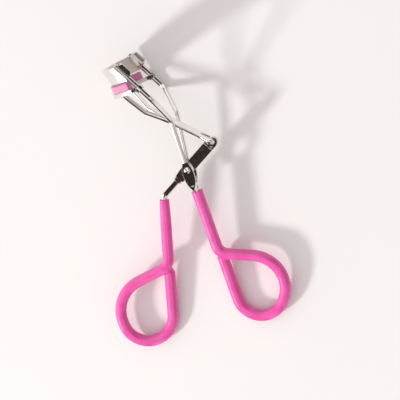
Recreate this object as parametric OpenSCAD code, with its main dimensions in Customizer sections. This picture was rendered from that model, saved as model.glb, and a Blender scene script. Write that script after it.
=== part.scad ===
// Eyelash curler with wire loops, a fixed upper jaw and a sliding padded lower jaw.
// It lies on its side: +X to the right, +Y towards the jaws, +Z along the pivot axis.
// Every shape is drawn about the pivot axis, on the tool's middle plane, and moved once
// at the end, so that the origin is the bottom centre of the whole object.

/* [Frame wires] */
// Diameter of the two frame wires
rail_d = 1.8; // [1.6:0.1:2]
// Distance from the middle plane to each rail's axis
rail_z = 13.6; // [12.5:0.1:15]
// Direction of the parallel rails, seen along the pivot axis
rail_angle = 138; // [132:1:144]
// Top end of the rails, across from the pivot
rail_top_x = -23.4; // [-26:0.1:-21]
// Top end of the rails, up from the pivot
rail_top_y = 38.5; // [36:0.1:42]
// Length over which the rails stay parallel
rail_straight = 16.8; // [15.5:0.1:18]

/* [Jaws] */
// Direction of the jaws' height, seen along the pivot axis
jaw_angle = 114; // [108:1:120]
// How far the jaw arc bulges in front of the rails
jaw_bulge = 8; // [6.5:0.1:9]
// Height of the fixed jaw strip
strip_h = 6; // [5:0.1:6.4]
// Lean of the fixed jaw strip back towards the rails
strip_lean = 12.4; // [10:0.1:14]
// Thickness of the fixed jaw strip and its ears
strip_t = 0.85; // [0.6:0.05:1]
// Length of the ears along the rails
ear_len = 5.8; // [4:0.1:6]
// Height of pad that shows above its channel
pad_show = 2.7; // [2:0.1:3]
// Width of the pad
pad_w = 2.6; // [2:0.1:3]
// How far the jaws stand open at rest, along the rails
opening = 0.35; // [0.3:0.05:3]

/* [Linkage] */
// Distance from the pivot to the yoke hinge
crank_len = 13.55; // [12.5:0.05:14.5]
// Direction of the lever at rest
lever_angle = 49.5; // [45:0.5:54]
// Width of the lever channel
lever_w = 3.9; // [3.4:0.1:4.2]
// Sheet thickness of the lever channel
lever_t = 0.7; // [0.5:0.05:0.9]
// Diameter of the yoke wire
yoke_d = 1.8; // [1.6:0.1:1.9]
// Diameter of the pivot rivet's shank
rivet_d = 1.6; // [1.4:0.1:2]

/* [Handles] */
// Diameter of the left handle's wire
rod_d = 2.2; // [1.8:0.1:2.4]
// Outer diameter of the dipped grips at the loops
grip_d = 4.2; // [3.9:0.1:4.6]
// Outer diameter of the left grip at its open end
grip_top_d = 3.6; // [3.4:0.1:3.9]
// Length of the left loop's straight end, up to its first bend
left_shank = 22.4; // [20:0.1:25]
// Length of the right loop's straight end, up to its first bend
right_shank = 21.9; // [20:0.1:25]

/* [Hidden] */
$fn = 40;

CHROME = [0.82, 0.81, 0.8];
DARK_CHROME = [0.55, 0.53, 0.52];
PINK = [0.93, 0.36, 0.66];
HOT_PINK = [0.95, 0.25, 0.6];

// Clearances: a fixed seat, a running pivot, and the loose eyes that slide on the rails
seat_gap = 0.02;
pivot_gap = 0.05;
eye_gap = 0.25;
pad_gap = 0.18;
// How far a cutter runs out of what it cuts, and how far one solid sinks into the next
through = 1;
sink = 0.1;

// A bend's extra radius, and how far it laps over its straight lengths
skin = 0.012;
lap = 0.05;

// Directions in the plane of the tool
function dir(a) = [cos(a), sin(a), 0];
function level(p, z) = [p.x, p.y, z];
rail_dir = dir(rail_angle);
jaw_up = dir(jaw_angle);
jaw_out = dir(jaw_angle + 90);
rail_top = [rail_top_x, rail_top_y, 0];
tilt = rail_angle - jaw_angle;

// Frame wires: parallel rails, a converging bend, then flat cheeks at the pivot
rail_r = rail_d / 2;
rail_stub = 0.5;
rail_low = rail_top - rail_straight * rail_dir;
near_throat = [-5.9, 18.8, 3.9];
far_throat = [-5, 20.2, 3.9];
throat_bends = [3, 4];
cheek_w = 4.1;
cheek_len = 12.2;
cheek_shift = 1.85;
cheek_in = 2.15;
cheek_t = 1.25;
cheek_z = 2.85;
cheek_dir = dir(-72);
cheek_top = 2.9;
cheek_low = 5.6;
pair_z = 0.95;
pair_len = 12;
neck_bend = 5;
shank_bend = 12;

// Jaw arc: both jaws follow one circle, whose centre lies behind the rails
wire_seat = rail_z - rail_r - strip_t / 2 - seat_gap;
arc_r = (wire_seat * wire_seat + jaw_bulge * jaw_bulge) / (2 * jaw_bulge);
arc_back = arc_r - jaw_bulge;
strip_half = asin(wire_seat / arc_r);
ear_w = 1.7;
ear_taper = 0.9;
seat_in = 1.65;
ear_out = rail_z + rail_r + 0.7;

// Moving jaw: channel, pad and the two eyes on the rails, under the strip's lower edge
channel_t = 0.42;
channel_floor = 0.36;
channel_h = 1.4;
pad_top = -strip_h - pad_gap;
lip = pad_top - pad_show;
channel_low = lip - channel_h;
pad_h = pad_show + channel_h - channel_floor - seat_gap;
pad_half = 65;
cap_half = 68.5;
cap_from = 65.4;
channel_in = arc_r - pad_w / 2 - seat_gap;
channel_out = arc_r + pad_w / 2 + seat_gap;
arm_z = rail_z - rail_r - 0.75;
arm_t = 0.8;
arm_over = 1;
eye_r = 1.5;
eye_len = 1.6;
eye_at = -(lip + channel_low) / 2 / cos(tilt);
slide = (strip_h + pad_gap) * tan(strip_lean);
moving_at = rail_top - slide * jaw_out;
arm_back = eye_at * sin(tilt) - slide;
opened = -opening * rail_dir;

// Lever and yoke
crank = crank_len * dir(lever_angle);
knuckle_r = 1.75;
knuckle_w = 2.6;
knuckle_neck = 1;
flange_top = 11.2;
flange_taper = -2.6;
flange_low = -4.8;
ferrule_from = -6.2;
ferrule_to = -3.9;
ferrule_r = 1.65;
rod_bend = 2.4;
yoke_r = yoke_d / 2;
yoke_z = 2.65;
leg_z = 1.4;
knee = [-15.05, 21.1, 3.7];
leg_mid = [-7.5, 17.96, leg_z];
leg_near = [4.4, 12.45, leg_z];
foot_z = 7;
foot_out = 4.6;
foot_below = 1.2;
foot_above = 1.5;
foot = moving_at + opened + foot_out * jaw_out + channel_low * jaw_up + [0, 0, foot_z];

// Rivet
rivet_r = rivet_d / 2;
head_r = 1.15;
head_h = 0.35;
washer_r = 1.5;
washer_t = 0.25;
peen_r = 1.15;
peen_tip_r = 0.8;
peen_h = 0.45;

// Finger loops: [shank, turn, bend radius, leg, long arc, its radius, end arc, its
// radius, return side, drop of its tip]; both start at a grip's open end
left_heading = -86.65;
left_corner = -13.73 * dir(lever_angle);
grip_start = 1.25;
left_top = left_corner + grip_start * dir(left_heading);
left_loop = [left_shank, 64, 4.6, 10.1, 86.2, 13.2, 159, 9.4, 16.3, 2.3];
right_heading = -70.48;
right_top = [3, -7.92, 0];
right_loop = [right_shank, 68.3, 4.2, 9.6, 107, 12.4, 140.6, 8.9, 16.8, 2.3];
arc_link = 0.4;
taper_len = 9;
tip_len = 1.6;

// Corner points of a loop's centreline; side is -1 for a loop to the left, 1 to the right
function loop_points(at, heading, loop, side) =
  let (
    b1 = loop[2] * tan(loop[1] / 2),
    b2 = loop[5] * tan(loop[4] / 2),
    b3 = loop[7] * tan(loop[6] / 2),
    h1 = heading + side * loop[1],
    h2 = h1 - side * loop[4],
    h3 = h2 - side * loop[6],
    p1 = at + (loop[0] + b1) * dir(heading),
    p2 = p1 + (b1 + loop[3] + b2) * dir(h1),
    p3 = p2 + (b2 + arc_link + b3) * dir(h2),
    p4 = p3 + (b3 + loop[8]) * dir(h3)
  ) [p1, p2, p3, level(p4, -loop[9])];
function loop_bends(loop) = [loop[2], loop[5], loop[7]];
// Centre of a loop's arc that starts at the leg, and of the one that follows it
function long_centre(at, heading, loop, side) =
  let (
    b1 = loop[2] * tan(loop[1] / 2),
    h1 = heading + side * loop[1]
  ) at + (loop[0] + b1) * dir(heading) + (b1 + loop[3]) * dir(h1)
    + loop[5] * dir(h1 - side * 90);
function end_centre(at, heading, loop, side) =
  long_centre(at, heading, loop, side)
    + (loop[7] - loop[5]) * dir(heading + side * (loop[1] - loop[4] - 90))
    + arc_link * dir(heading + side * (loop[1] - loop[4]));

// Extents of the whole object, about the pivot
left_edge = (rail_top + (jaw_bulge + strip_t / 2) * jaw_out).x;
right_edge = long_centre(right_top, right_heading, right_loop, 1).x + right_loop[5] + grip_d / 2;
top_edge = (rail_top - (rail_r + ear_w) * dir(rail_angle + 90) - ear_taper * rail_dir).y;
low_edge = end_centre(left_top, left_heading, left_loop, -1).y - left_loop[7] - grip_d / 2;
placed = [-(left_edge + right_edge) / 2, -(top_edge + low_edge) / 2, ear_out];

// A rigid move that takes +Z to the direction w and +X to the direction u
module aligned(at, u, w) {
  v = cross(w, u);
  multmatrix([
    [u.x, v.x, w.x, at.x],
    [u.y, v.y, w.y, at.y],
    [u.z, v.z, w.z, at.z]
  ]) children();
}

function unit(v) = v / norm(v);
function turn(p, i) =
  acos(max(-1, min(1, unit(p[i] - p[i - 1]) * unit(p[i + 1] - p[i]))));
function setback(p, bends, i) =
  i == 0 || i == len(p) - 1 ? 0 : bends[i - 1] * tan(turn(p, i) / 2);

// How far a straight length reaches into the bends at its two ends
function reach(p, bends, i) = setback(p, bends, i) > 0 ? setback(p, bends, i) - lap : 0;

// A round wire through the points p, with a true bend of the given radius at each corner.
// The bends are a hair thicker than the straight lengths and lap over their ends.
module wire(p, bends, r) {
  for (i = [0 : len(p) - 2]) {
    w = unit(p[i + 1] - p[i]);
    side = abs(w.z) < 0.9 ? [0, 0, 1] : [1, 0, 0];
    from = p[i] + reach(p, bends, i) * w;
    to = p[i + 1] - reach(p, bends, i + 1) * w;
    aligned(from, unit(cross(side, w)), w) cylinder(r = r, h = norm(to - from));
  }
  for (i = [1 : len(p) - 2]) {
    w = unit(p[i] - p[i - 1]);
    next = unit(p[i + 1] - p[i]);
    axis = unit(cross(w, next));
    out = cross(w, axis);
    middle = p[i] - setback(p, bends, i) * w - bends[i - 1] * out;
    aligned(middle, out, axis)
      rotate_extrude(angle = turn(p, i)) translate([bends[i - 1], 0]) circle(r = r + skin);
  }
}

// Jaw frame: +X out of the bulge, +Y along the tool's width, +Z up the jaw
module on_jaw() {
  aligned(rail_top, jaw_out, jaw_up) children();
}

// The same frame for the moving jaw in its closed place
module on_moving_jaw() {
  aligned(moving_at, jaw_out, jaw_up) children();
}

// Slants its children back as they go down the jaw
module leaning() {
  multmatrix([[1, 0, tan(strip_lean), 0], [0, 1, 0, 0], [0, 0, 1, 0]]) children();
}

// Part of a ring about the jaw arc's centre, between two radii and two heights
module arc_wall(inner, outer, low, high, half) {
  translate([-arc_back, 0, low])
    rotate([0, 0, -half])
      rotate_extrude(angle = 2 * half)
        translate([inner, 0]) square([outer - inner, high - low]);
}

// Frame that follows a rail: +X away from the bulge, +Y up the rail, +Z as the tool's
module on_rail() {
  aligned(rail_top, dir(rail_angle - 90), [0, 0, 1]) children();
}

// Flat ear and the saddle that holds the rail, on one side of the tool
module ear() {
  riser = rail_r + seat_gap;
  on_rail() {
    translate([0, 0, ear_out - strip_t])
      linear_extrude(strip_t)
        polygon([
          [riser, 0], [riser, -ear_len],
          [riser + ear_w, -ear_len + ear_taper], [riser + ear_w, -ear_taper]
        ]);
    translate([riser, -ear_len, wire_seat - strip_t / 2])
      cube([strip_t, ear_len, ear_out - wire_seat]);
  }
}

module fixed_jaw() {
  color(CHROME)
    translate(placed) {
      on_jaw() {
        leaning() {
          arc_wall(arc_r - strip_t / 2, arc_r + strip_t / 2, -strip_h, 0, strip_half);
          for (s = [-1, 1])
            translate([sink - seat_in, s * wire_seat - strip_t / 2, -strip_h])
              cube([seat_in, strip_t, strip_h]);
        }
      }
      ear();
      mirror([0, 0, 1]) ear();
    }
}

// Upper part of a frame wire: rail, bend and throat, down to the cheek
module frame_wire_top(throat) {
  wire([
      level(rail_top + rail_stub * rail_dir, rail_z),
      level(rail_low, rail_z),
      throat,
      level(-cheek_top * cheek_dir, cheek_z)
    ], throat_bends, rail_r);
}

// Flat forged cheek, an outline of two equal arcs, drilled for the rivet
module cheek() {
  big_r = (cheek_len * cheek_len + cheek_w * cheek_w) / (4 * cheek_w);
  difference() {
    translate([0, 0, cheek_in])
      linear_extrude(cheek_t)
        rotate([0, 0, atan2(cheek_dir.y, cheek_dir.x)])
          intersection() {
            translate([cheek_shift, big_r - cheek_w / 2]) circle(r = big_r, $fn = 96);
            translate([cheek_shift, cheek_w / 2 - big_r]) circle(r = big_r, $fn = 96);
          }
    translate([0, 0, cheek_in - through])
      cylinder(r = rivet_r + seat_gap, h = cheek_t + 2 * through);
  }
}

function neck_points() = [
  level(cheek_low * cheek_dir, cheek_z),
  level(right_top, pair_z),
  level(right_top + pair_len * dir(right_heading), pair_z)
];

// Lower part of the near wire, which goes on round the right finger loop
module near_wire_low(extra) {
  wire(
    concat(neck_points(), loop_points(right_top, right_heading, right_loop, 1)),
    concat([neck_bend, shank_bend], loop_bends(right_loop)),
    rail_r + extra
  );
}

// Lower part of the far wire, which ends inside the right grip
module far_wire_low(extra) {
  mirror([0, 0, 1]) wire(neck_points(), [neck_bend], rail_r + extra);
}

module near_frame_wire() {
  color(CHROME)
    translate(placed) {
      frame_wire_top(near_throat);
      cheek();
      near_wire_low(0);
    }
}

module far_frame_wire() {
  color(CHROME)
    translate(placed) {
      mirror([0, 0, 1]) {
        frame_wire_top(far_throat);
        cheek();
      }
      far_wire_low(0);
    }
}

// Dipped coat round a finger loop from one place on its shank, closed over the wire's tip
module loop_coat(at, heading, loop, side, start) {
  points = loop_points(at, heading, loop, side);
  back = unit(points[3] - points[2]);
  wire(concat([at + start * dir(heading)], points), loop_bends(loop), grip_d / 2);
  aligned(points[3] - lap * back, unit(cross(dir(heading), back)), back)
    cylinder(r1 = grip_d / 2 - skin, r2 = grip_d / 4, h = tip_len);
}

module right_grip() {
  color(PINK)
    translate(placed)
      difference() {
        loop_coat(right_top, right_heading, right_loop, 1, 0);
        near_wire_low(seat_gap);
        far_wire_low(seat_gap);
      }
}

// Rivet through both cheeks and the lever, with a dome on the near side
module pivot_rivet() {
  outer = cheek_in + cheek_t;
  dome_r = (head_r * head_r + head_h * head_h) / (2 * head_h);
  tail = outer + washer_t + 2 * seat_gap;
  color(CHROME)
    translate(placed) {
      translate([0, 0, -tail]) cylinder(r = rivet_r, h = tail + outer + seat_gap);
      intersection() {
        translate([0, 0, outer + seat_gap + head_h - dome_r]) sphere(r = dome_r, $fn = 64);
        translate([0, 0, outer + seat_gap]) cylinder(r = 2 * head_r, h = 2 * head_h);
      }
      translate([0, 0, -tail - peen_h]) cylinder(r1 = peen_tip_r, r2 = peen_r, h = peen_h);
    }
}

module pivot_washer() {
  color(CHROME)
    translate(placed + [0, 0, -cheek_in - cheek_t - seat_gap - washer_t])
      difference() {
        cylinder(r = washer_r, h = washer_t);
        translate([0, 0, -through])
          cylinder(r = rivet_r + seat_gap, h = washer_t + 2 * through);
      }
}

// Lever frame: +X from the pivot to the yoke hinge, +Z as the tool's
module on_lever() {
  rotate([0, 0, lever_angle]) children();
}

module lever_channel() {
  half = lever_w / 2;
  rod_hole = rod_d / 2 + seat_gap;
  color(DARK_CHROME)
    translate(placed)
      on_lever()
        difference() {
          union() {
            for (s = [-1, 1])
              translate([0, 0, s * (half - lever_t / 2) - lever_t / 2])
                linear_extrude(lever_t)
                  polygon([
                    [flange_top, -half], [flange_top, half], [flange_taper, half],
                    [flange_low, ferrule_r], [flange_low, -ferrule_r], [flange_taper, -half]
                  ]);
            translate([flange_taper, -half, -half])
              cube([flange_top - flange_taper, lever_t, lever_w]);
            translate([flange_top - knuckle_neck, -half, -knuckle_w / 2])
              cube([crank_len - flange_top + knuckle_neck, lever_t, knuckle_w]);
            translate([crank_len, 0, -knuckle_w / 2]) cylinder(r = knuckle_r, h = knuckle_w);
            translate([ferrule_from, 0, 0])
              rotate([0, 90, 0]) cylinder(r = ferrule_r, h = ferrule_to - ferrule_from);
          }
          translate([crank_len, 0, -knuckle_w])
            cylinder(r = yoke_r + pivot_gap, h = 2 * knuckle_w);
          translate([0, 0, -lever_w]) cylinder(r = rivet_r + pivot_gap, h = 2 * lever_w);
          translate([ferrule_from - through, 0, 0])
            rotate([0, 90, 0]) cylinder(r = rod_hole, h = ferrule_to - ferrule_from + 2 * through);
        }
}

function rod_points() = concat(
  [ferrule_to * dir(lever_angle), left_corner],
  loop_points(left_top, left_heading, left_loop, -1)
);

module left_handle_wire() {
  color(DARK_CHROME)
    translate(placed) wire(rod_points(), concat([rod_bend], loop_bends(left_loop)), rod_d / 2);
}

module left_grip() {
  color(PINK)
    translate(placed)
      difference() {
        union() {
          loop_coat(left_top, left_heading, left_loop, -1, taper_len - lap);
          aligned(left_top, [0, 0, 1], dir(left_heading))
            cylinder(r1 = grip_top_d / 2, r2 = grip_d / 2 - skin, h = taper_len);
        }
        wire(rod_points(), concat([rod_bend], loop_bends(left_loop)), rod_d / 2 + seat_gap);
      }
}

// Corner points and bends of one yoke leg, from its crossbar to the jaw
leg_points = [
  level(crank, yoke_z), leg_near, leg_mid, knee,
  foot - foot_below * rail_dir, foot + foot_above * rail_dir
];
leg_bends = [1.15, 6, 16, 4, 1];
function flipped(p) = [p.x, p.y, -p.z];

module yoke_wire() {
  color(CHROME)
    translate(placed)
      difference() {
        wire(
          concat([for (i = [5 : -1 : 0]) flipped(leg_points[i])], leg_points),
          concat([for (i = [4 : -1 : 0]) leg_bends[i]], leg_bends),
          yoke_r
        );
        translate(opened) on_jaw()
          translate([-rail_z, -rail_z, channel_low - seat_gap]) cube(2 * rail_z);
      }
}

// Arm and eye that carry the moving jaw on one rail, in the closed place
module jaw_eye() {
  on_moving_jaw()
    translate([-arm_back - arm_over, arm_z - arm_t / 2, channel_low])
      cube([arm_back + arm_over - sink, arm_t, channel_h]);
  aligned(level(rail_top - (eye_at + eye_len / 2) * rail_dir, rail_z), [0, 0, 1], rail_dir)
    cylinder(r = eye_r, h = eye_len);
}

module rail_bore() {
  aligned(level(rail_top - (eye_at + 2 * eye_len) * rail_dir, rail_z), [0, 0, 1], rail_dir)
    cylinder(r = rail_r + eye_gap, h = 4 * eye_len);
}

module moving_jaw() {
  color(CHROME)
    translate(placed + opened)
      difference() {
        union() {
          on_moving_jaw() {
            difference() {
              arc_wall(channel_in - channel_t, channel_out + channel_t,
                channel_low, lip, cap_half);
              arc_wall(channel_in, channel_out,
                channel_low + channel_floor, lip + through, cap_from);
            }
          }
          jaw_eye();
          mirror([0, 0, 1]) jaw_eye();
        }
        rail_bore();
        mirror([0, 0, 1]) rail_bore();
      }
}

module pad() {
  color(HOT_PINK)
    translate(placed + opened)
      on_moving_jaw()
        arc_wall(arc_r - pad_w / 2, arc_r + pad_w / 2, pad_top - pad_h, pad_top, pad_half);
}

fixed_jaw();
near_frame_wire();
far_frame_wire();
right_grip();
pivot_rivet();
pivot_washer();
lever_channel();
left_handle_wire();
left_grip();
yoke_wire();
moving_jaw();
pad();
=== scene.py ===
"""Looks for the eyelash curler: metal, dipped grips and pad, floor, lights and camera."""

import math

import bmesh
import bpy
from mathutils import Matrix, Vector


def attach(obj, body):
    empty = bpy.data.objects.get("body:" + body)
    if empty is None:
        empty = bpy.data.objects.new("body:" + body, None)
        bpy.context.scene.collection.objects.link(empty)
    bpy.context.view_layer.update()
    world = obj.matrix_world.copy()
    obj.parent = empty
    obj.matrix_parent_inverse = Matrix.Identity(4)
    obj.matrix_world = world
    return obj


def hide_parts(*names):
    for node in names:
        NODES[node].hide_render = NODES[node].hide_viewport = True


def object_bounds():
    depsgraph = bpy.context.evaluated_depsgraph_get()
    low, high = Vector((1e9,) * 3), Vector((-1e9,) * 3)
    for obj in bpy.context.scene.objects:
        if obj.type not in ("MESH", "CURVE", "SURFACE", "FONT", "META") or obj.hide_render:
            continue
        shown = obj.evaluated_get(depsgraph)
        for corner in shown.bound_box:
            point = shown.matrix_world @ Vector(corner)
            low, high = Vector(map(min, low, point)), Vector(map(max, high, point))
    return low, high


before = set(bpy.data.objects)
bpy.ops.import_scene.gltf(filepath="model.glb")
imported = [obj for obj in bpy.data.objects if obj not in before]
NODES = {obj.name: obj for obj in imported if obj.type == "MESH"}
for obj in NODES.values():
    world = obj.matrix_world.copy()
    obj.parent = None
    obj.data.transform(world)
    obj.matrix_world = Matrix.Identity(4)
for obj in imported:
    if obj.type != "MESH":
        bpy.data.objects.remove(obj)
CAD_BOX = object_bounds()
MM = 0.001
SCENE = bpy.context.scene
UP = Vector((0.0, 0.0, 1.0))

# Camera: the direction from the object to the camera, its distance and the point it looks at
CAMERA_DIRECTION = Vector((0.125, 0.241, 0.9624)).normalized()
CAMERA_DISTANCE = 0.55
CAMERA_LENS = 136.6
CAMERA_SENSOR = 36.0
CAMERA_CLIP = (0.01, 20.0)
AIM_OFFSET = Vector((0.9, 2.75, 0.0)) * MM

# Key light: the direction from the object to it, its distance, width, power and colour
KEY_DIRECTION = Vector((-0.724, -0.503, 0.469)).normalized()
KEY_DISTANCE = 2.0
KEY_SIZE = 0.26
KEY_POWER = 31.0
KEY_COLOUR = (0.97, 1.0, 0.97)

# Fill: soft light from all round, stronger from one side by a share of its strength
FILL_STRENGTH = 0.8
FILL_COLOUR = (1.0, 0.955, 0.96, 1.0)
FILL_SIDE = Vector((-0.86, -0.51, 0.0))
FILL_LEAN = 0.6

# Room: what the metal and the coats reflect, and the backdrop that the camera sees
ROOM_WHITE = (1.05, 1.02, 1.0, 1.0)
ROOM_DARK = (0.035, 0.026, 0.022, 1.0)
ROOM_GREY = (0.5, 0.43, 0.4, 1.0)
ROOM_LAMP = (7.0, 7.0, 6.9, 1.0)
ROOM_WINDOW = (1.9, 1.88, 1.86, 1.0)
BACKDROP = (0.93, 0.915, 0.905, 1.0)

# Cards in the room: for each, its limits as (axis, low, high), its soft edge and its colour.
# A limit is on the part of the unit direction that lies along the axis. A straight wire
# reflects one band across the room, so each long card crosses one wire's band.
CARD_EDGE = 0.04
LAMP_EDGE = 0.003
HORIZON = -0.1
NO_LIMIT = 2.0
HANDLE_CARD = [
    (Vector((0.649, 0.76, 0.0)), -0.38, -0.15),
    (UP, HORIZON, NO_LIMIT),
]
SIDE_CARD = [
    (Vector((0.974, 0.226, 0.0)), 0.25, NO_LIMIT),
    (Vector((0.226, -0.974, 0.0)), -0.6, 0.6),
    (UP, HORIZON, 0.85),
]
RAIL_CARD = [
    (Vector((-0.743, 0.669, 0.0)), -0.13, 0.09),
    (Vector((0.669, 0.743, 0.0)), 0.2, NO_LIMIT),
    (UP, HORIZON, NO_LIMIT),
]
WINDOW_CARD = [
    (Vector((-0.97, -0.24, 0.0)), 0.85, NO_LIMIT),
    (UP, 0.12, 0.62),
]
LAMP_CARD = [(KEY_DIRECTION, 0.992, NO_LIMIT)]
CARDS = [
    (HANDLE_CARD, CARD_EDGE, ROOM_DARK),
    (SIDE_CARD, CARD_EDGE, ROOM_GREY),
    (RAIL_CARD, CARD_EDGE, ROOM_DARK),
    (WINDOW_CARD, CARD_EDGE, ROOM_WINDOW),
    (LAMP_CARD, LAMP_EDGE, ROOM_LAMP),
]

# The dark side of the room: where it is, its half angle and edge in degrees, and how high
# it reaches
DARK_SIDE = Vector((-0.342, -0.94, 0.0))
DARK_SIDE_HALF = 26.0
DARK_SIDE_EDGE = 4.0
DARK_SIDE_TOP = 0.8

# Colours of the metal, the grips, the pad and the floor: two for each, mixed by a noise
WIRE_BRIGHT = (0.86, 0.84, 0.82, 1.0)
WIRE_DULL = (0.8, 0.77, 0.75, 1.0)
SHEET_BRIGHT = (0.84, 0.82, 0.8, 1.0)
SHEET_DULL = (0.78, 0.75, 0.73, 1.0)
PINK = (0.83, 0.11, 0.42, 1.0)
PINK_DEEP = (0.75, 0.064, 0.33, 1.0)
PAD_PINK = (0.6, 0.235, 0.385, 1.0)
PAD_DEEP = (0.59, 0.17, 0.345, 1.0)
BOARD_PALE = (0.87, 0.85, 0.835, 1.0)
BOARD_DULL = (0.85, 0.83, 0.815, 1.0)

# Distances in millimetres
EDGE_RADIUS = 0.12
WELD = 0.002
HULL_WELD = 0.2
FLOOR_GAP = 0.02
GRIP_VOXEL = 0.2
GRIP_FILLET = 0.35
PAD_VOXEL = 0.12
FLOOR_SIZE = 3000.0


# ---------------------------------------------------------------- node helpers


class Nodes:
    """A material's node tree, with short calls for the nodes used here."""

    def __init__(self, tree):
        self.tree = tree

    def add(self, kind, inputs=None, **settings):
        node = self.tree.nodes.new(kind)
        for name, value in settings.items():
            setattr(node, name, value)
        for name, value in (inputs or {}).items():
            socket = node.inputs[name]
            if isinstance(value, bpy.types.NodeSocket):
                self.tree.links.new(value, socket)
            else:
                socket.default_value = value
        return node

    def in_mm(self, stretch=(1.0, 1.0, 1.0)):
        """Object coordinates in millimetres, stretched along the axes."""
        place = self.add("ShaderNodeTexCoord").outputs["Object"]
        scale = [s / MM for s in stretch]
        return self.add("ShaderNodeMapping", {"Vector": place, "Scale": scale}).outputs["Vector"]

    def noise(self, per_mm, detail=3.0, stretch=(1.0, 1.0, 1.0)):
        vector = self.in_mm(stretch)
        node = self.add("ShaderNodeTexNoise", {"Vector": vector, "Scale": per_mm, "Detail": detail})
        return node.outputs["Fac"]

    def spread(self, value, low, high, start=0.3, end=0.7):
        """value, from start to end, spread over low to high."""
        inputs = {"Value": value, "From Min": start, "From Max": end, "To Min": low, "To Max": high}
        return self.add("ShaderNodeMapRange", inputs).outputs["Result"]

    def blend(self, factor, first, second):
        node = self.add("ShaderNodeMix", data_type="RGBA")
        for socket, value in (("Factor_Float", factor), ("A_Color", first), ("B_Color", second)):
            found = next(s for s in node.inputs if s.identifier == socket)
            if isinstance(value, bpy.types.NodeSocket):
                self.tree.links.new(value, found)
            else:
                found.default_value = value
        return next(s for s in node.outputs if s.identifier == "Result_Color")

    def times(self, first, second):
        inputs = {0: first, 1: second}
        return self.add("ShaderNodeMath", inputs, operation="MULTIPLY").outputs["Value"]

    def dot(self, vector, axis):
        inputs = {0: vector, 1: axis}
        return self.add("ShaderNodeVectorMath", inputs, operation="DOT_PRODUCT").outputs["Value"]

    def mix_shaders(self, factor, first, second):
        node = self.add("ShaderNodeMixShader", {0: factor, 1: first, 2: second})
        return node.outputs["Shader"]

    def soft_edges(self):
        """The surface's normal, rounded over at its edges."""
        node = self.add("ShaderNodeBevel", {"Radius": EDGE_RADIUS * MM}, samples=6)
        return node.outputs["Normal"]

    def bump(self, height, depth_mm, normal=None):
        inputs = {"Height": height, "Strength": 1.0, "Distance": depth_mm * MM}
        if normal is not None:
            inputs["Normal"] = normal
        return self.add("ShaderNodeBump", inputs).outputs["Normal"]


def new_material(name):
    material = bpy.data.materials.new(name)
    material.use_nodes = True
    nodes = Nodes(material.node_tree)
    shader = next(n for n in material.node_tree.nodes if n.type == "BSDF_PRINCIPLED")
    return material, nodes, shader


def connect(nodes, shader, **sockets):
    for name, value in sockets.items():
        socket = shader.inputs[name.replace("_", " ")]
        if isinstance(value, bpy.types.NodeSocket):
            nodes.tree.links.new(value, socket)
        else:
            socket.default_value = value


# ------------------------------------------------------------------- materials


def chrome(name, bright, dull, roughness, scratch_stretch):
    """Bright plating: a faint haze, fingertip smudges and fine polishing lines."""
    material, nodes, shader = new_material(name)
    haze = nodes.noise(0.35, 4.0)
    smudge = nodes.noise(0.9, 5.0)
    lines = nodes.noise(2.2, 2.0, scratch_stretch)
    waves = nodes.noise(0.5, 1.0)
    connect(
        nodes,
        shader,
        Base_Color=nodes.blend(nodes.spread(haze, 0.0, 1.0), bright, dull),
        Metallic=1.0,
        Roughness=nodes.spread(smudge, roughness * 0.6, roughness * 1.7),
        Normal=nodes.bump(lines, 0.0003, nodes.bump(waves, 0.003, nodes.soft_edges())),
    )
    return material


def dipped_vinyl(name):
    """Glossy soft vinyl: a thick dipped skin with faint ripples and a little light inside."""
    material, nodes, shader = new_material(name)
    cloud = nodes.noise(0.22, 3.0)
    ripple = nodes.noise(0.45, 2.0)
    grain = nodes.noise(5.0, 3.0)
    connect(
        nodes,
        shader,
        Base_Color=nodes.blend(nodes.spread(cloud, 0.0, 1.0, 0.35, 0.75), PINK, PINK_DEEP),
        Roughness=nodes.spread(grain, 0.16, 0.26),
        IOR=1.5,
        Subsurface_Weight=0.15,
        Subsurface_Radius=(1.0, 0.25, 0.45),
        Subsurface_Scale=0.8 * MM,
        Coat_Weight=0.5,
        Coat_Roughness=0.06,
        Normal=nodes.bump(grain, 0.004, nodes.bump(ripple, 0.05)),
    )
    return material


def silicone(name):
    """Satin silicone: a fine powdery skin, softer than the grips."""
    material, nodes, shader = new_material(name)
    cloud = nodes.noise(0.5, 3.0)
    grain = nodes.noise(7.0, 4.0)
    connect(
        nodes,
        shader,
        Base_Color=nodes.blend(nodes.spread(cloud, 0.0, 1.0), PAD_PINK, PAD_DEEP),
        Roughness=nodes.spread(grain, 0.34, 0.5),
        Subsurface_Weight=0.3,
        Subsurface_Radius=(1.0, 0.3, 0.5),
        Subsurface_Scale=0.7 * MM,
        Sheen_Weight=0.15,
        Normal=nodes.bump(grain, 0.01),
    )
    return material


def dark_side(nodes, direction):
    """1 where the direction points to the dark side of the room, below its top, 0 elsewhere."""
    flat = nodes.add(
        "ShaderNodeVectorMath", {0: direction, 1: (1, 1, 0)}, operation="MULTIPLY"
    ).outputs["Vector"]
    level = nodes.add("ShaderNodeVectorMath", {0: flat}, operation="NORMALIZE").outputs["Vector"]
    start = math.cos(math.radians(DARK_SIDE_HALF + DARK_SIDE_EDGE))
    end = math.cos(math.radians(DARK_SIDE_HALF - DARK_SIDE_EDGE))
    across = nodes.spread(nodes.dot(level, DARK_SIDE), 0.0, 1.0, start, end)
    height = nodes.dot(direction, UP)
    below = nodes.spread(height, 1.0, 0.0, DARK_SIDE_TOP - CARD_EDGE, DARK_SIDE_TOP + CARD_EDGE)
    return nodes.times(across, below)


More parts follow.
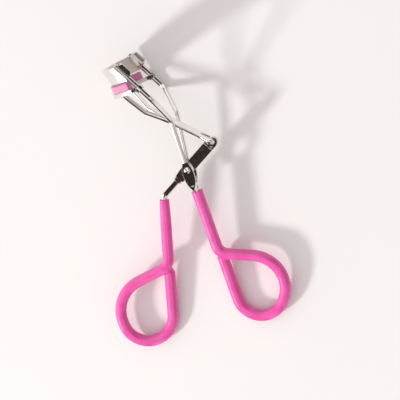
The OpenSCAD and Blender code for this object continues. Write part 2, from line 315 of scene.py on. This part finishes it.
def board(name):
    """Pale matt board for the floor, seen through from below. Reflected rays heading to the dark
    side of the room see it painted dark, a painted reflection of that side.
    """
    material, nodes, shader = new_material(name)
    cloud = nodes.noise(0.02, 3.0)
    grain = nodes.noise(3.0, 3.0)
    connect(
        nodes,
        shader,
        Base_Color=nodes.blend(cloud, BOARD_PALE, BOARD_DULL),
        Roughness=0.75,
        Normal=nodes.bump(grain, 0.01),
    )
    out = next(n for n in material.node_tree.nodes if n.type == "OUTPUT_MATERIAL")
    place = nodes.add("ShaderNodeNewGeometry")
    onwards = nodes.add(
        "ShaderNodeVectorMath", {0: place.outputs["Incoming"], "Scale": -1.0}, operation="SCALE"
    ).outputs["Vector"]
    reflected = nodes.add("ShaderNodeLightPath").outputs["Is Glossy Ray"]
    # Painted reflection: reflected rays heading to the dark side see a dark emission on the board
    # instead of its lit colour.
    dark = nodes.times(dark_side(nodes, onwards), reflected)
    shade = nodes.add("ShaderNodeEmission", {"Color": ROOM_DARK}).outputs["Emission"]
    clear = nodes.add("ShaderNodeBsdfTransparent").outputs["BSDF"]
    lit = nodes.mix_shaders(dark, shader.outputs["BSDF"], shade)
    whole = nodes.mix_shaders(place.outputs["Backfacing"], lit, clear)
    nodes.tree.links.new(whole, out.inputs["Surface"])
    return material


def paint(piece, material):
    piece.data.materials.clear()
    piece.data.materials.append(material)


# --------------------------------------------------------------- soft pieces


def copy_of(node):
    """A new mesh object with the CAD node's solid, welded along its seams."""
    mesh = bmesh.new()
    mesh.from_mesh(NODES[node].data)
    bmesh.ops.remove_doubles(mesh, verts=mesh.verts, dist=WELD * MM)
    data = bpy.data.meshes.new(node + "_copy")
    mesh.to_mesh(data)
    mesh.free()
    piece = bpy.data.objects.new(node + "_copy", data)
    SCENE.collection.objects.link(piece)
    return piece


def baked(piece):
    """Applies the piece's modifiers to its mesh."""
    bpy.context.view_layer.update()
    graph = bpy.context.evaluated_depsgraph_get()
    data = bpy.data.meshes.new_from_object(piece.evaluated_get(graph))
    piece.modifiers.clear()
    piece.data = data
    return piece


def remeshed(piece, voxel_mm):
    step = piece.modifiers.new("remesh", "REMESH")
    step.mode = "VOXEL"
    step.voxel_size = voxel_mm * MM
    return baked(piece)


def smoothed(piece, rounds):
    step = piece.modifiers.new("smooth", "SMOOTH")
    step.factor = 0.5
    step.iterations = rounds
    return baked(piece)


def swollen(piece, distance_mm):
    """Moves every point along its normal."""
    for vertex, normal in zip(piece.data.vertices, piece.data.vertex_normals):
        vertex.co += normal.vector * distance_mm * MM
    piece.data.update()
    return piece


def stand_in(piece, name, node, body, material):
    """Names and paints the soft piece, and puts it on the body in the CAD node's place."""
    piece.name = piece.data.name = name
    piece.data.shade_smooth()
    paint(piece, material)
    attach(piece, body)
    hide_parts(node)


def coat(name, node, body):
    """A dipped coat: the CAD coat with its creases filled as the liquid skin fills them."""
    piece = remeshed(copy_of(node), GRIP_VOXEL)
    piece = remeshed(swollen(piece, GRIP_FILLET), GRIP_VOXEL)
    piece = smoothed(swollen(piece, -GRIP_FILLET), 6)
    stand_in(piece, name, node, body, VINYL)


def soft_pad(name, node, body):
    """The curling pad: the CAD pad with its edges rounded over."""
    piece = smoothed(remeshed(copy_of(node), PAD_VOXEL), 5)
    stand_in(piece, name, node, body, SILICONE)


# ----------------------------------------------------------------------- stage


def floor_plane():
    """The plane the tool rests on: the face of its hull below its middle."""
    mesh = bmesh.new()
    for node in NODES.values():
        for vertex in node.data.vertices:
            mesh.verts.new(vertex.co)
    bmesh.ops.remove_doubles(mesh, verts=mesh.verts, dist=HULL_WELD * MM)
    hull = bmesh.ops.convex_hull(mesh, input=mesh.verts)
    middle = (CAD_BOX[0] + CAD_BOX[1]) / 2
    found = None
    for face in (g for g in hull["geom"] if isinstance(g, bmesh.types.BMFace)):
        flat = [(v.co.x, v.co.y) for v in face.verts]
        turns = [
            (b[0] - a[0]) * (middle.y - a[1]) - (b[1] - a[1]) * (middle.x - a[0])
            for a, b in zip(flat, flat[1:] + flat[:1])
        ]
        if all(t <= 0 for t in turns) or all(t >= 0 for t in turns):
            centre = face.calc_center_median()
            if found is None or centre.z < found[0].z:
                found = (centre.copy(), face.normal.copy())
    mesh.free()
    centre, normal = found
    return centre, normal if normal.z > 0 else -normal


def make_floor():
    centre, normal = floor_plane()
    data = bpy.data.meshes.new("floor")
    half = FLOOR_SIZE * MM / 2
    corners = [(-half, -half, 0), (half, -half, 0), (half, half, 0), (-half, half, 0)]
    data.from_pydata(corners, [], [(0, 1, 2, 3)])
    floor = bpy.data.objects.new("floor", data)
    SCENE.collection.objects.link(floor)
    floor.rotation_mode = "QUATERNION"
    floor.rotation_quaternion = normal.to_track_quat("Z", "Y")
    floor.location = centre - normal * FLOOR_GAP * MM
    paint(floor, board("board"))


def aim_point():
    return (CAD_BOX[0] + CAD_BOX[1]) / 2 + AIM_OFFSET


def make_key_light():
    data = bpy.data.lights.new("key", "AREA")
    data.shape = "DISK"
    data.size = KEY_SIZE
    data.energy = KEY_POWER
    data.color = KEY_COLOUR
    light = bpy.data.objects.new("key", data)
    light.location = aim_point() + KEY_DIRECTION * KEY_DISTANCE
    light.rotation_mode = "QUATERNION"
    light.rotation_quaternion = KEY_DIRECTION.to_track_quat("Z", "Y")
    light.visible_glossy = False
    SCENE.collection.objects.link(light)


def card_mask(nodes, direction, limits, edge):
    """1 where the direction meets the card, 0 outside it, with a soft edge."""
    mask = 1.0
    for axis, low, high in limits:
        along = nodes.dot(direction, axis)
        mask = nodes.times(mask, nodes.spread(along, 0.0, 1.0, low - edge, low + edge))
        if high < 1.0:
            mask = nodes.times(mask, nodes.spread(along, 1.0, 0.0, high - edge, high + edge))
    return mask


def make_room():
    """A bright plain room with a few dark cards, which only reflections show."""
    world = bpy.data.worlds.new("room")
    world.use_nodes = True
    world.node_tree.nodes.clear()
    nodes = Nodes(world.node_tree)
    direction = nodes.add("ShaderNodeTexCoord").outputs["Generated"]
    seen = ROOM_WHITE
    for limits, edge, colour in CARDS:
        seen = nodes.blend(card_mask(nodes, direction, limits, edge), seen, colour)
    seen = nodes.blend(dark_side(nodes, direction), seen, ROOM_DARK)
    rays = nodes.add("ShaderNodeLightPath")
    room = nodes.add("ShaderNodeBackground", {"Color": seen, "Strength": 1.0})
    across = nodes.dot(direction, FILL_SIDE)
    strength = nodes.spread(
        across, FILL_STRENGTH * (1 - FILL_LEAN), FILL_STRENGTH * (1 + FILL_LEAN), -1.0, 1.0
    )
    fill = nodes.add("ShaderNodeBackground", {"Color": FILL_COLOUR, "Strength": strength})
    back = nodes.add("ShaderNodeBackground", {"Color": BACKDROP, "Strength": 1.0})
    lit = nodes.mix_shaders(rays.outputs["Is Glossy Ray"], fill.outputs[0], room.outputs[0])
    whole = nodes.mix_shaders(rays.outputs["Is Camera Ray"], lit, back.outputs[0])
    nodes.add("ShaderNodeOutputWorld", {"Surface": whole})
    SCENE.world = world


def make_camera():
    data = bpy.data.cameras.new("camera")
    data.sensor_width = CAMERA_SENSOR
    data.lens = CAMERA_LENS
    data.clip_start, data.clip_end = CAMERA_CLIP
    camera = bpy.data.objects.new("camera", data)
    right = Vector((0, 1, 0)).cross(CAMERA_DIRECTION).normalized()
    up = CAMERA_DIRECTION.cross(right)
    turn = Matrix((right, up, CAMERA_DIRECTION)).transposed().to_4x4()
    place = Matrix.Translation(aim_point() + CAMERA_DIRECTION * CAMERA_DISTANCE)
    camera.matrix_world = place @ turn
    SCENE.collection.objects.link(camera)
    SCENE.camera = camera


# ------------------------------------------------------------------ the object

WIRE = chrome("chrome_wire", WIRE_BRIGHT, WIRE_DULL, 0.05, (1.0, 1.0, 1.0))
SHEET = chrome("chrome_sheet", SHEET_BRIGHT, SHEET_DULL, 0.07, (0.3, 3.0, 3.0))
VINYL = dipped_vinyl("dipped_vinyl")
SILICONE = silicone("pad_silicone")

for node_name in ("near_frame_wire", "far_frame_wire", "left_handle_wire", "yoke_wire"):
    paint(NODES[node_name], WIRE)
for node_name in ("fixed_jaw", "moving_jaw", "lever_channel", "pivot_rivet", "pivot_washer"):
    paint(NODES[node_name], SHEET)

coat("left_grip_coat", "left_grip", "lever")
coat("right_grip_coat", "right_grip", "frame")
soft_pad("curling_pad", "pad", "pusher")

make_floor()
make_key_light()
make_room()
make_camera()
SCENE.view_settings.view_transform = "Standard"
